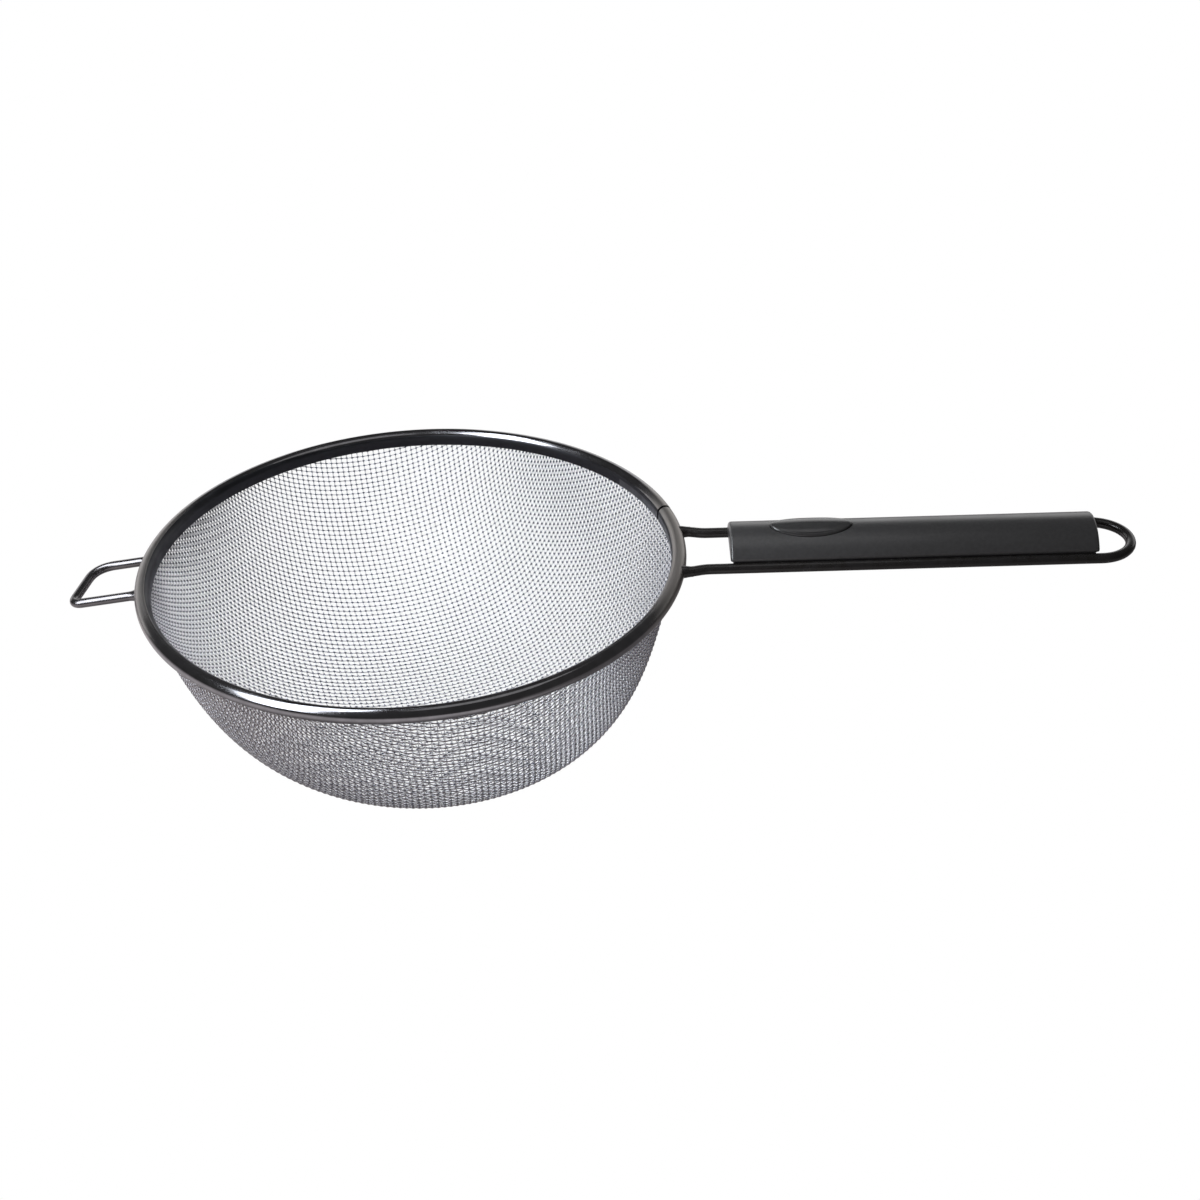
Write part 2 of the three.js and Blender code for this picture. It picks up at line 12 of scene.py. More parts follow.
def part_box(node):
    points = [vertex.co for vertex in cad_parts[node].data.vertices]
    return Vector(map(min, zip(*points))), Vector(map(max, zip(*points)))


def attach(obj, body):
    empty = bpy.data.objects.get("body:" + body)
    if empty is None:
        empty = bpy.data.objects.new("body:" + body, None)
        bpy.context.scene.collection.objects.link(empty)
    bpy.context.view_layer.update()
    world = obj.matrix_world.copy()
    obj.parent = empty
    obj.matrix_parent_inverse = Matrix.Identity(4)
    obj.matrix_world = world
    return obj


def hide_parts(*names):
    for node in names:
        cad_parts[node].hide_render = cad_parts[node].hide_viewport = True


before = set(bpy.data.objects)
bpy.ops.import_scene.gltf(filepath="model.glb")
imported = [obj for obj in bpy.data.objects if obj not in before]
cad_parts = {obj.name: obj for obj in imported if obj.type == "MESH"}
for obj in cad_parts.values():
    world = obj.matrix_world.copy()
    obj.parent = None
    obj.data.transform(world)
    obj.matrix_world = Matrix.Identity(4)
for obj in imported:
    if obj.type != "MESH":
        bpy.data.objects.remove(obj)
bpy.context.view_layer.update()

MM = 0.001
BODY = "root"
WHITE = (1, 1, 1, 1)

# Rim
RIM_RADIUS = 90.5
BAND_OUTER = 2.55
BAND_WALL = 0.5
BAND_STEPS = 288
SKIRT_DROP = 2.8
LIP_OFFSET = -1.0
SEAM_ANGLE = math.radians(17.3)
SEAM_GAP = 1.2

# Directions from the rim's centre between which the skirt is painted a lighter grey, a painted
# reflection, instead of the near-black painted shade elsewhere
LIT_SKIRT_SPAN = (math.radians(-25), math.radians(37))

# How far down its inner flank the roll keeps the band's metal before near-black painted shade starts, in
# general and at the hook, and the cosines of the direction from the rim's centre between which that
# changes
ROLL_SHADE_START = math.radians(58)
HOOK_SIDE_SHADE_START = math.radians(26)
SHADE_START_CHANGE = (-0.85, -0.45)

# The welds' heat on the band: where along X it starts and is full, how strong it is, and its look
HEAT_START = 76.0
HEAT_FULL = 88.0
HEAT_AT_HANDLE = 1.0
HEAT_AT_HOOK = 0.7
HEAT_COLOUR = (0.31, 0.29, 0.275, 1)
HEAT_ROUGHNESS = 0.42

# Bowl, to the middle of the weave's thickness
BOWL_RADIUS = 88.97
BOWL_DEPTH = 74.65
BOWL_TAPER = 0.224
RADIAL_POWER = 2.6
DEPTH_POWER = 3.85
BOWL_LEAN = 6.6
SMALLEST_RADIUS = 1e-9

# Weave
WIRE_RADIUS = 0.225
PITCH_U = 2.06
PITCH_V = 1.75
WEAVE_ANGLE = math.radians(16)
WIRE_TOP = -1.2
WIRE_GROUPS = 4
NET_ROOM = 1.6
SETTLE_ROUNDS = 9

# Marks on a wire's corners, of which two lie outside the bowl and then two inside: how near a crossing
# they are, for painted contact shade, and how much painted shade the wire's outer half takes at the rim
# and at the base, standing in for the dark room it reflects and the floor's shade
WIRE_SIDES = 4
CROSSING_SHADE_MARK = "crossing"
CROSSING_SHADE_SIDES = (0.55, 0.55, 1.0, 1.0)
OUTER_SHADE_MARK = "outside"
LENGTHWISE_OUTER_SHADE = (1.0, 1.0)
CROSSWISE_OUTER_SHADE = (0.45, 0.95)
# The wire's own pale colour, the painted contact shade at its crossings and the painted shade on its
# outer half
INNER_COLOUR = (0.94, 0.935, 0.95)
CROSSING_SHADE_COLOUR = (0.03, 0.045, 0.09)
OUTER_SHADE_COLOUR = (0.17, 0.13, 0.12, 1)

# Handle
HANDLE_RADIUS = 1.75
LEG_Y = 11.9
LEG_SPLAY = 1.2
LEG_SPLAY_LENGTH = 9.0
LOOP_TIP = 242.7
WIRE_INSET = 0.6

# Rest hook
HOOK_RADIUS = 1.6
HOOK_HALF = 11.3
HOOK_REACH_NEAR = 25.5
HOOK_REACH_FAR = 21.9
HOOK_BEND_NEAR = 4.0
HOOK_BEND_FAR = 7.0
HOOK_WELD_DROP = 3.9
HOOK_TIP_DROP = 7.3

# Weld beads: their radius, the distance along each with the share of its height there, and the
# waves round it with their shift and height
HANDLE_BEAD = 2.15
HOOK_BEAD = 2.2
BEAD_SIDES = 28
BEAD_PROFILE = (
    (-1.4, 1.0),
    (-0.6, 1.02),
    (0.0, 0.98),
    (0.5, 0.9),
    (1.0, 0.74),
    (1.5, 0.5),
    (2.1, 0.26),
    (2.8, 0.1),
    (3.4, 0.015),
)
BEAD_WAVES = ((2, 1.0, 0.05), (3, 2.1, 0.04))

# Grip
GRIP_START = 107.5
GRIP_LENGTH = 122.5
GRIP_END = GRIP_START + GRIP_LENGTH
GRIP_HALF = 11.4
GRIP_CROWN = 9.1
ARCH_RADIUS = 13.8
ARCH_CENTRE = GRIP_CROWN - ARCH_RADIUS
GRIP_EDGE = 2.05
GRIP_WALL = 2.4
GRIP_END_WALL = 2.6
GRIP_END_ROUND = 1.0
GRIP_EDGE_ROUND = 0.35
RIB_COUNT = 6
RIB_THICKNESS = 2.0
RIB_END_OFFSET = 5.0
SEAT_HALF = 11.1
SEAT_FLOOR = -1.2
WIRE_ROOM = 0.3

# Thumb pad. The hub and the dome's start are shares of its oval.
PAD_X = GRIP_START + 27.5
PAD_HALF_LENGTH = 13.65
PAD_HALF_WIDTH = 5.6
PAD_RISE = 1.2
PAD_EDGE_RISE = 0.7
PAD_EDGE_ROUND = 0.6
PAD_SEAT = 1.0
PAD_GROOVE = 0.3
PAD_HUB = 0.02
PAD_DOME_START = 0.9
POCKET_TOP = GRIP_CROWN + 3

# Edges that bend by more than these stay sharp
METAL_SHARP = math.radians(60)
WELD_SHARP = math.radians(70)
GRIP_SHARP = math.radians(32)

# Spans of a pattern over which roughness and colours change
SMEAR_SPAN = (0.3, 0.7)
MOTTLE_SPAN = (0.35, 0.65)
CROSSING_SHADE_SPAN = (0.37, 0.74)
OUTER_SHADE_SPAN = (0.35, 1.0)

# Detail of the noise in colours and in relief, and the shares of its colour that plating varies between
MOTTLE_DETAIL = 3
RELIEF_DETAIL = 2
PLATING_SHARES = (0.9, 1.1)

# The floor as the object sees it: its light in the bowl's shade, in the open, far away and, as a
# share, at the handle's side, and the distances over which that changes, in metres
FLOOR_SIZE = 6.0
FLOOR_DROP = 0.0005
FLOOR_SHADE = 0.22
FLOOR_LIGHT = 0.95
FLOOR_FAR = 0.4
FLOOR_RIGHT = 0.25
FLOOR_SHADE_SPAN = (0.08, 0.2)
FLOOR_FAR_SPAN = (0.3, 0.6)
FLOOR_RIGHT_SPAN = (0.05, 0.17)
FLOOR_COLOUR = (1.0, 0.95, 0.97, 1)
ROOM_LIGHT = 0.08

# The backdrop, in metres: the heights over which it fades, and the middle of its dark gap with the
# distances from there over which its light comes back
BACKDROP_LIGHT = 1.2
BACKDROP_PLACE = 1.0
BACKDROP_HALF_WIDTH = 2.0
BACKDROP_HEIGHT = 0.8
BACKDROP_FADE = (0.35, 0.78)
BACKDROP_GAP = -0.16
GAP_LIGHT = 0.1
GAP_SPAN = (0.1, 0.13)

# The light panel over the bowl's left front: its height over the rim and its corners, in metres
PANEL_LIGHT = 9.5
PANEL_COLOUR = (0.93, 0.98, 1.04, 1)
PANEL_HEIGHT = 0.3
PANEL_CORNERS = (
    (-0.055, 0.17),
    (-0.065, -0.03),
    (-0.25, -0.35),
    (-0.43, -0.58),
    (-0.8, -0.7),
    (-0.95, -0.6),
    (-0.36, -0.125),
    (-0.25, 0.0),
    (-0.135, 0.075),
    (-0.113, 0.1),
)

# The fill light, in metres
FILL_LIGHT = 0.6
FILL_HEIGHT = 0.5
FILL_X = (-0.02, 0.22)
FILL_Y = (-0.12, 0.12)

# The camera, with its place from the rim's centre in metres
CAMERA_PLACE = (0.0748, -0.5521, 0.3329)
CAMERA_RIGHT = (0.99945, 0.0, -0.0331)
CAMERA_FORWARD = (-0.0178, 0.8435, -0.5369)
CAMERA_LENS = 57.0
CAMERA_SENSOR = 36.0
CAMERA_NEAREST = 0.01

# The rim's centre in the part's frame
rim_low, rim_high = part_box("rim_core_ring")
RIM_CENTRE = (rim_low + rim_high) / 2


# Mesh helpers

def add_object(name, data):
    """An object in the scene."""
    obj = bpy.data.objects.new(name, data)
    bpy.context.scene.collection.objects.link(obj)
    return obj


def mesh_object(name, vertices, faces, sharp_angle=None):
    """A mesh object from points in millimetres about the rim's centre, shaded smooth."""
    placed = np.asarray(vertices, float) * MM + np.array(RIM_CENTRE)
    mesh = bpy.data.meshes.new(name)
    mesh.from_pydata(placed.tolist(), [], [list(face) for face in faces])
    mesh.validate()
    obj = add_object(name, mesh)
    smooth(obj, sharp_angle)
    return obj


def smooth(obj, sharp_angle=None):
    """Faces shaded smooth, outward, with edges past an angle kept sharp."""
    work = bmesh.new()
    work.from_mesh(obj.data)
    bmesh.ops.recalc_face_normals(work, faces=work.faces)
    for face in work.faces:
        face.smooth = True
    if sharp_angle is not None:
        for edge in work.edges:
            edge.smooth = edge.calc_face_angle(math.pi) < sharp_angle
    work.to_mesh(obj.data)
    work.free()


def ring_faces(rings, sides):
    """Quads between rings of points, with a cap on each end."""
    faces = []
    for here in range(0, (rings - 1) * sides, sides):
        there = here + sides
        for s in range(sides):
            t = (s + 1) % sides
            faces.append((here + s, here + t, there + t, there + s))
    faces.append(tuple(range(sides))[::-1])
    faces.append(tuple(range((rings - 1) * sides, rings * sides)))
    return faces


def unit(vectors):
    """Vectors brought to length one."""
    return vectors / np.linalg.norm(vectors, axis=-1, keepdims=True)


def tube(points, ups, radius, sides):
    """Vertices of a round tube along a path, given a direction square to it at each point."""
    along = unit(np.gradient(points, axis=0))
    side = unit(np.cross(along, ups))
    up = np.cross(side, along)
    turn = 2 * np.pi * (np.arange(sides) + 0.5) / sides
    spokes = np.cos(turn)[:, None] * side[:, None] + np.sin(turn)[:, None] * up[:, None]
    return (points[:, None] + radius * spokes).reshape(-1, 3)


def arc(centre, radius, start, end, steps):
    """Points on a circle in a plane, from one angle to another."""
    turn = np.linspace(start, end, steps + 1)
    return np.stack([centre[0] + radius * np.cos(turn), centre[1] + radius * np.sin(turn)], 1)


def bezier(a, b, c, d, steps):
    """Points on a cubic curve."""
    t = np.linspace(0, 1, steps + 1)[:, None]
    a, b, c, d = (np.asarray(p, float) for p in (a, b, c, d))
    return (1 - t) ** 3 * a + 3 * (1 - t) ** 2 * t * b + 3 * (1 - t) * t ** 2 * c + t ** 3 * d


def round_corner(start, corner, end):
    """Points on a bend that takes the place of a corner."""
    start, corner, end = (np.array(p) for p in (start, corner, end))
    return bezier(start, start + (corner - start) * 2 / 3, end + (corner - end) * 2 / 3, end, steps=16)


def line(a, b, steps):
    """Points on a straight line."""
    t = np.linspace(0, 1, steps + 1)[:, None]
    return (1 - t) * np.asarray(a, float) + t * np.asarray(b, float)


def chain(*runs):
    """One path from runs that meet end to end."""
    return np.concatenate([runs[0], *(run[1:] for run in runs[1:])])


def change(target, other, operation):
    """Joins or cuts a solid by another, which is used up."""
    step = target.modifiers.new("change", "BOOLEAN")
    step.operation = operation
    step.solver = "EXACT"
    step.object = other
    bpy.context.view_layer.objects.active = target
    bpy.ops.object.modifier_apply(modifier=step.name)
    bpy.data.objects.remove(other)


def finish_piece(obj, material, slot, *nodes):
    """Puts a material on a piece, ties it to the body and lets it stand for CAD nodes."""
    obj.data.materials.clear()
    obj.data.materials.append(material)
    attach(obj, BODY)
    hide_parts(*nodes)


# Shader nodes. The owner is a material or the world.

def feed(owner, value, socket):
    """Sets a socket to a value, or links it to another node's output."""
    if isinstance(value, bpy.types.NodeSocket):
        owner.node_tree.links.new(value, socket)
    else:
        socket.default_value = value


def add_node(owner, kind, inputs=(), **settings):
    """A node with its settings, and with its inputs set or linked."""
    node = owner.node_tree.nodes.new(kind)
    for name, value in settings.items():
        setattr(node, name, value)
    for name, value in dict(inputs).items():
        feed(owner, value, node.inputs[name])
    return node


def object_place(owner):
    """The place in the object's own space."""
    return add_node(owner, "ShaderNodeTexCoord").outputs["Object"]


def place_parts(owner):
    """The X, Y and Z of the place in the object's own space."""
    return add_node(owner, "ShaderNodeSeparateXYZ", {"Vector": object_place(owner)}).outputs


def add_noise(owner, scale, detail):
    """A noise pattern in the object's own space, with its scale in patterns per metre."""
    inputs = {"Vector": object_place(owner), "Scale": scale, "Detail": detail}
    return add_node(owner, "ShaderNodeTexNoise", inputs).outputs["Fac"]


def camera_ray(owner):
    """1 for what the camera sees and 0 for what the object sees."""
    return add_node(owner, "ShaderNodeLightPath").outputs["Is Camera Ray"]


def combine(owner, operation, *numbers):
    """A number worked out from others."""
    return add_node(owner, "ShaderNodeMath", enumerate(numbers), operation=operation).outputs["Value"]


def remap(owner, value, span, levels, kind="SMOOTHSTEP"):
    """A number that goes from one level to another as a value crosses a span."""
    ends = zip(("From Min", "From Max", "To Min", "To Max"), (*span, *levels))
    inputs = {"Value": value, **dict(ends)}
    return add_node(owner, "ShaderNodeMapRange", inputs, interpolation_type=kind).outputs["Result"]


def ramp(owner, value, first, second, span=MOTTLE_SPAN):
    """A colour that goes from one to another as a value crosses a span."""
    node = add_node(owner, "ShaderNodeValToRGB", {"Fac": value})
    for k, colour in enumerate((first, second)):
        node.color_ramp.elements[k].position = span[k]
        node.color_ramp.elements[k].color = (*colour, 1)
    return node.outputs["Color"]


def mix(owner, share, first, second):
    """A number between two others."""
    inputs = {"Factor": share, "A": first, "B": second}
    return add_node(owner, "ShaderNodeMix", inputs).outputs["Result"]


def mix_colours(owner, share, first, second, kind="MIX"):
    """A colour between two others, or another blend of them."""
    inputs = {"Fac": share, "Color1": first, "Color2": second}
    return add_node(owner, "ShaderNodeMixRGB", inputs, blend_type=kind).outputs["Color"]


# Materials

def new_material(name, colour, metallic, roughness, specular=0.5):
    """A material and its shader."""
    material = bpy.data.materials.new(name)
    material.use_nodes = True
    shader = material.node_tree.nodes["Principled BSDF"]
    shader.inputs["Base Color"].default_value = (*colour, 1)
    shader.inputs["Metallic"].default_value = metallic
    shader.inputs["Roughness"].default_value = roughness
    shader.inputs["Specular IOR Level"].default_value = specular
    return material, shader


def smear(material, shader, scale, detail, low, high):
    """Roughness that varies in smears."""
    pattern = add_noise(material, scale, detail)
    rough = remap(material, pattern, SMEAR_SPAN, (low, high), "LINEAR")
    feed(material, rough, shader.inputs["Roughness"])


def mottle(material, shader, scale, dark, pale):
    """Colour that varies in spots."""
    pattern = add_noise(material, scale, MOTTLE_DETAIL)
    feed(material, ramp(material, pattern, dark, pale), shader.inputs["Base Color"])


def emboss(material, shader, scale, height, strength):
    """Fine surface relief, with its height in metres."""
    pattern = add_noise(material, scale, RELIEF_DETAIL)
    inputs = {"Height": pattern, "Distance": height, "Strength": strength}
    bump = add_node(material, "ShaderNodeBump", inputs)
    feed(material, bump.outputs["Normal"], shader.inputs["Normal"])


def make_gunmetal(name, colour, polished, smeared):
    """Dark plating, with the roughness of its polished places and of its faint smears."""
    material, shader = new_material(name, colour, metallic=1.0, roughness=polished)
    smear(material, shader, scale=90, detail=4, low=polished, high=smeared)
    dark, pale = ([level * share for level in colour] for share in PLATING_SHARES)
    mottle(material, shader, scale=260, dark=dark, pale=pale)
    return material, shader


def make_band_metal():
    """The band's plating, slightly wavy, dulled and a little brown where the welds have heated it."""
    material, shader = make_gunmetal("band_gunmetal", (0.23, 0.225, 0.235), polished=0.1, smeared=0.19)
    emboss(material, shader, scale=160, height=0.00005, strength=0.25)
    along_x = place_parts(material)["X"]
    heats = []
    for side, level in ((1, HEAT_AT_HANDLE), (-1, HEAT_AT_HOOK)):
        span = [RIM_CENTRE.x + side * reach * MM for reach in (HEAT_START, HEAT_FULL)]
        heats.append(remap(material, along_x, span, (0, level)))
    heat = combine(material, "MAXIMUM", *heats)
    colour, rough = shader.inputs["Base Color"], shader.inputs["Roughness"]
    cool_colour, cool_rough = (socket.links[0].from_socket for socket in (colour, rough))
    feed(material, mix_colours(material, heat, cool_colour, HEAT_COLOUR), colour)
    feed(material, mix(material, heat, cool_rough, HEAT_ROUGHNESS), rough)
    return material


def make_painted_shade_gunmetal():
    """Rough metal painted near-black: painted shade inside the roll and in its seam."""
    material, shader = new_material("painted_shade_gunmetal", (0.05, 0.05, 0.055), metallic=1.0, roughness=0.4)
    smear(material, shader, scale=120, detail=4, low=0.32, high=0.5)
    return material


def make_painted_light_skirt():
    """The skirt of the band near its seam, painted a lighter grey as a painted reflection."""
    material, shader = new_material("painted_light_skirt", (0.13, 0.13, 0.135), metallic=1.0, roughness=0.32)
    smear(material, shader, scale=120, detail=4, low=0.26, high=0.38)
    mottle(material, shader, scale=400, dark=(0.115, 0.115, 0.12), pale=(0.145, 0.145, 0.15))
    return material


def make_black_wire():
    """Black lacquer on the handle wire, a little brown."""
    material, shader = new_material("black_wire", (0.017, 0.015, 0.014), metallic=0.0, roughness=0.3)
    smear(material, shader, scale=120, detail=4, low=0.17, high=0.28)
    mottle(material, shader, scale=300, dark=(0.014, 0.012, 0.011), pale=(0.021, 0.019, 0.019))
    emboss(material, shader, scale=700, height=0.00003, strength=0.2)
    return material


def make_mesh_steel():
    """Drawn stainless wire, pale, with painted contact shade at its crossings and a darker grey painted
    shade on its outer half.
    """
    material, shader = new_material("mesh_steel", (0.7, 0.7, 0.72), metallic=0.3, roughness=0.4)
    smear(material, shader, scale=900, detail=2, low=0.3, high=0.48)
    crossing, outside = (
        add_node(material, "ShaderNodeAttribute", attribute_name=mark).outputs["Fac"]
        for mark in (CROSSING_SHADE_MARK, OUTER_SHADE_MARK)
    )
    # Painted contact shade at the crossings, then painted shade on the outer half
    inner = ramp(material, crossing, INNER_COLOUR, CROSSING_SHADE_COLOUR, CROSSING_SHADE_SPAN)
    outer_shade_share = remap(material, outside, OUTER_SHADE_SPAN, (0, 1))
    wire = mix_colours(material, outer_shade_share, inner, OUTER_SHADE_COLOUR)
    pattern = add_noise(material, scale=45, detail=MOTTLE_DETAIL)
    spots = ramp(material, pattern, first=(0.86, 0.86, 0.88), second=(1, 0.99, 1))
    feed(material, mix_colours(material, 1, wire, spots, "MULTIPLY"), shader.inputs["Base Color"])
    return material


def make_grip_black():
    """Moulded plastic with a fine spark-eroded texture and faint handling marks."""
    colour = (0.052, 0.05, 0.05)
    material, shader = new_material("grip_black", colour, metallic=0.0, roughness=0.3, specular=0.7)
    smear(material, shader, scale=70, detail=5, low=0.27, high=0.35)
    mottle(material, shader, scale=900, dark=(0.047, 0.045, 0.045), pale=(0.057, 0.055, 0.055))
    emboss(material, shader, scale=5200, height=0.00006, strength=0.2)
    return material


def make_pad_black():
    """The smoother plastic of the thumb pad."""
    colour = (0.045, 0.043, 0.043)
    material, shader = new_material("pad_black", colour, metallic=0.0, roughness=0.22, specular=0.7)
    smear(material, shader, scale=110, detail=4, low=0.15, high=0.22)
    mottle(material, shader, scale=300, dark=(0.041, 0.039, 0.039), pale=(0.049, 0.047, 0.047))
    emboss(material, shader, scale=2600, height=0.00004, strength=0.1)
    return material


# Mesh bowl

def share_of_depth(heights):
    """Share of the bowl's depth that heights lie under the rim's skirt."""
    return np.maximum(0, -heights - SKIRT_DROP) / (BOWL_DEPTH - SKIRT_DROP)


def bowl_field(points):
    """How far points are outside the upright bowl's surface, with the slope of that measure."""
    deep = share_of_depth(points[:, 2])
    narrowing = 1 - BOWL_TAPER * deep
    radius = np.hypot(points[:, 0], points[:, 1])
    radial = radius / BOWL_RADIUS / narrowing
    error = radial ** RADIAL_POWER + deep ** DEPTH_POWER - 1
    slope = RADIAL_POWER * radial ** (RADIAL_POWER - 1) / BOWL_RADIUS / narrowing
    pull = slope / np.maximum(radius, SMALLEST_RADIUS)
    taper_fall = np.where(deep > 0, RADIAL_POWER * radial ** RADIAL_POWER * BOWL_TAPER / narrowing, 0)
    depth_fall = DEPTH_POWER * deep ** (DEPTH_POWER - 1)
    fall = -(taper_fall + depth_fall) / (BOWL_DEPTH - SKIRT_DROP)
    return error, np.stack([points[:, 0] * pull, points[:, 1] * pull, fall], 1)


def lean_over(points):
    """Points moved towards the handle, the more the deeper they lie, and flat where the bowl stands."""
    shift = BOWL_LEAN * share_of_depth(points[:, 2]) ** 2
    leaning = points + np.outer(shift, (1, 0, 0))
    leaning[:, 2] = np.maximum(leaning[:, 2], -RIM_CENTRE.z / MM)
    return leaning


def distance_from(origins, length):
    """Condition that points lie a distance from others."""
    def condition(points):
        gap = points - origins
        return (np.einsum("ij,ij->i", gap, gap) - length ** 2) / 2, gap
    return condition


def on_plane(normal):
    """Condition that points lie in a plane through the axis."""
    def condition(points):
        return points @ normal, np.tile(normal, (len(points), 1))
    return condition


def settle(points, *conditions):
    """Moves each point until its three conditions hold at once."""
    for _ in range(SETTLE_ROUNDS):
        errors, slopes = zip(*(condition(points) for condition in conditions))
        step = np.linalg.solve(np.stack(slopes, 1), np.stack(errors, 1)[..., None])
        points = points - step[..., 0]
    return points


def drape_quarter():
    """Crossings of a net draped over the bowl, whose cells keep the length of their sides."""
    count = int(NET_ROOM * (BOWL_RADIUS + BOWL_DEPTH) / min(PITCH_U, PITCH_V))
    net = np.full((count, count, 3), np.nan)
    net[0, 0] = (0, 0, -BOWL_DEPTH)
    along_u, along_v = np.array([1.0, 0, 0]), np.array([0, 1.0, 0])
    edges = (
        (net[:, 0], PITCH_U, along_u, on_plane(along_v)),
        (net[0], PITCH_V, along_v, on_plane(along_u)),
    )
    for row, pitch, axis, flat in edges:
        k = 1
        while row[k - 1, 2] < 0:
            ahead = row[k - 1] - row[k - 2] if k > 1 else axis * pitch
            guess = (row[k - 1] + ahead)[None]
            row[k] = settle(guess, distance_from(row[k - 1], pitch), flat, bowl_field)[0]
            k += 1
    for diagonal in range(2, 2 * count - 1):
        i = np.arange(max(1, diagonal - count + 1), min(diagonal, count))
        j = diagonal - i
        neighbours = ~np.isnan(net[i - 1, j, 0]) & ~np.isnan(net[i, j - 1, 0])
        with np.errstate(invalid="ignore"):
            known = neighbours & (net[i - 1, j - 1, 2] < 0)
        i, j = i[known], j[known]
        if len(i) == 0:
            continue
        left, below = net[i - 1, j], net[i, j - 1]
        guess = left + below - net[i - 1, j - 1]
        sides = (distance_from(left, PITCH_U), distance_from(below, PITCH_V))
        net[i, j] = settle(guess, *sides, bowl_field)
    return net


def full_net():
    """All four quarters of the net, turned to the angle that it lies at."""
    quarter = drape_quarter()
    reach = len(quarter) - 1
    index = np.abs(np.arange(-reach, reach + 1))
    sign = np.where(np.arange(-reach, reach + 1) < 0, -1, 1)
    net = quarter[index][:, index].copy()
    net[..., 0] *= sign[:, None]
    net[..., 1] *= sign[None, :]
    turn = np.array(Matrix.Rotation(WEAVE_ANGLE, 3, "Z"))
    return net @ turn.T


def with_means(values):
    """Values with the mean of each two neighbours between them."""
    doubled = np.empty((2 * len(values) - 1, *values.shape[1:]))
    doubled[::2] = values
    doubled[1::2] = (values[1:] + values[:-1]) / 2
    return doubled


def wire_run(crossings, parity):
    """One wire's path: over and under at its crossings, and level half way between them."""
    inside = np.flatnonzero(crossings[:, 2] < WIRE_TOP)
    low, high = inside[0], inside[-1]
    points = crossings[low:high + 1]
    lift = np.where((np.arange(low, high + 1) + parity) % 2 == 0, 1.0, -1.0)
    for end, beyond in ((low, low - 1), (high, high + 1)):
        if 0 <= beyond < len(crossings) and not np.isnan(crossings[beyond, 0]):
            share = (WIRE_TOP - crossings[end, 2]) / (crossings[beyond, 2] - crossings[end, 2])
            tip = crossings[end] + share * (crossings[beyond] - crossings[end])
            place = 0 if beyond < end else len(points)
            points = np.insert(points, place, tip, axis=0)
            lift = np.insert(lift, place, 0)
    points, lift = with_means(points), with_means(lift)
    _, slope = bowl_field(points)
    outward = unit(slope)
    return points + outward * lift[:, None] * WIRE_RADIUS, outward, np.abs(lift)


def wire_groups(rows):
    """Rows of the net with two crossings or more under the rim, in groups of neighbours."""
    crossings = np.count_nonzero(rows[..., 2] < WIRE_TOP, axis=1)
    return np.array_split(np.flatnonzero(crossings >= 2), WIRE_GROUPS)


def make_wires(name, rows, group, parity, outer_shade_levels):
    """A group of wires, marked for painted shade near their crossings and, by depth, on their outer
    halves.
    """
    tubes, faces, near = [], [], []
    count = 0
    for k in group:
        points, outward, crossing = wire_run(rows[k], k + parity)
        wire_faces = ring_faces(len(points), WIRE_SIDES)
        tubes.append(tube(points, outward, WIRE_RADIUS, WIRE_SIDES))
        near.append(np.outer(crossing, CROSSING_SHADE_SIDES).ravel())
        faces.extend(tuple(count + corner for corner in face) for face in wire_faces)
        count += len(tubes[-1])
    corners = np.concatenate(tubes)
    wires = mesh_object(name, lean_over(corners), faces)
    # Painted shade on the wires' outer halves, changing with depth towards the base
    outer = np.arange(count) % WIRE_SIDES < WIRE_SIDES // 2
    level = np.interp(share_of_depth(corners[:, 2]) ** 2, (0, 1), outer_shade_levels)
    for mark, values in ((CROSSING_SHADE_MARK, np.concatenate(near)), (OUTER_SHADE_MARK, outer * level)):
        wires.data.attributes.new(mark, "FLOAT", "POINT").data.foreach_set("value", values)
    return wires


# Rim

def rim_section():
    """The band's closed outline: a rolled tube with a skirt inside and a lip outside, edges rounded."""
    inner = BAND_OUTER - BAND_WALL
    middle = (BAND_OUTER + inner) / 2
    half = BAND_WALL / 2
    lip = -math.pi + math.acos(LIP_OFFSET / -middle)
    lip_centre = (middle * math.cos(lip), middle * math.sin(lip))
    skirt_centre = (-middle, -SKIRT_DROP + half)
    return np.concatenate([
        arc(skirt_centre, half, 0, -math.pi, steps=6),
        arc((0, 0), BAND_OUTER, math.pi, lip, steps=40),
        arc(lip_centre, half, lip, lip - math.pi, steps=6)[1:-1],
        arc((0, 0), inner, lip, math.pi, steps=32),
    ])


def make_rim_band():
    """The section swept round the rim from one side of the seam to the other."""
    section = rim_section()
    gap = SEAM_GAP / RIM_RADIUS / 2
    turn = np.linspace(SEAM_ANGLE + gap, SEAM_ANGLE + 2 * math.pi - gap, BAND_STEPS + 1)
    radius = RIM_RADIUS + section[:, 0]
    x = np.cos(turn)[:, None] * radius
    y = np.sin(turn)[:, None] * radius
    z = np.broadcast_to(section[:, 1], x.shape)
    vertices = np.stack([x, y, z], -1).reshape(-1, 3)
    return mesh_object("rim_roll", vertices, ring_faces(len(turn), len(section)), METAL_SHARP)


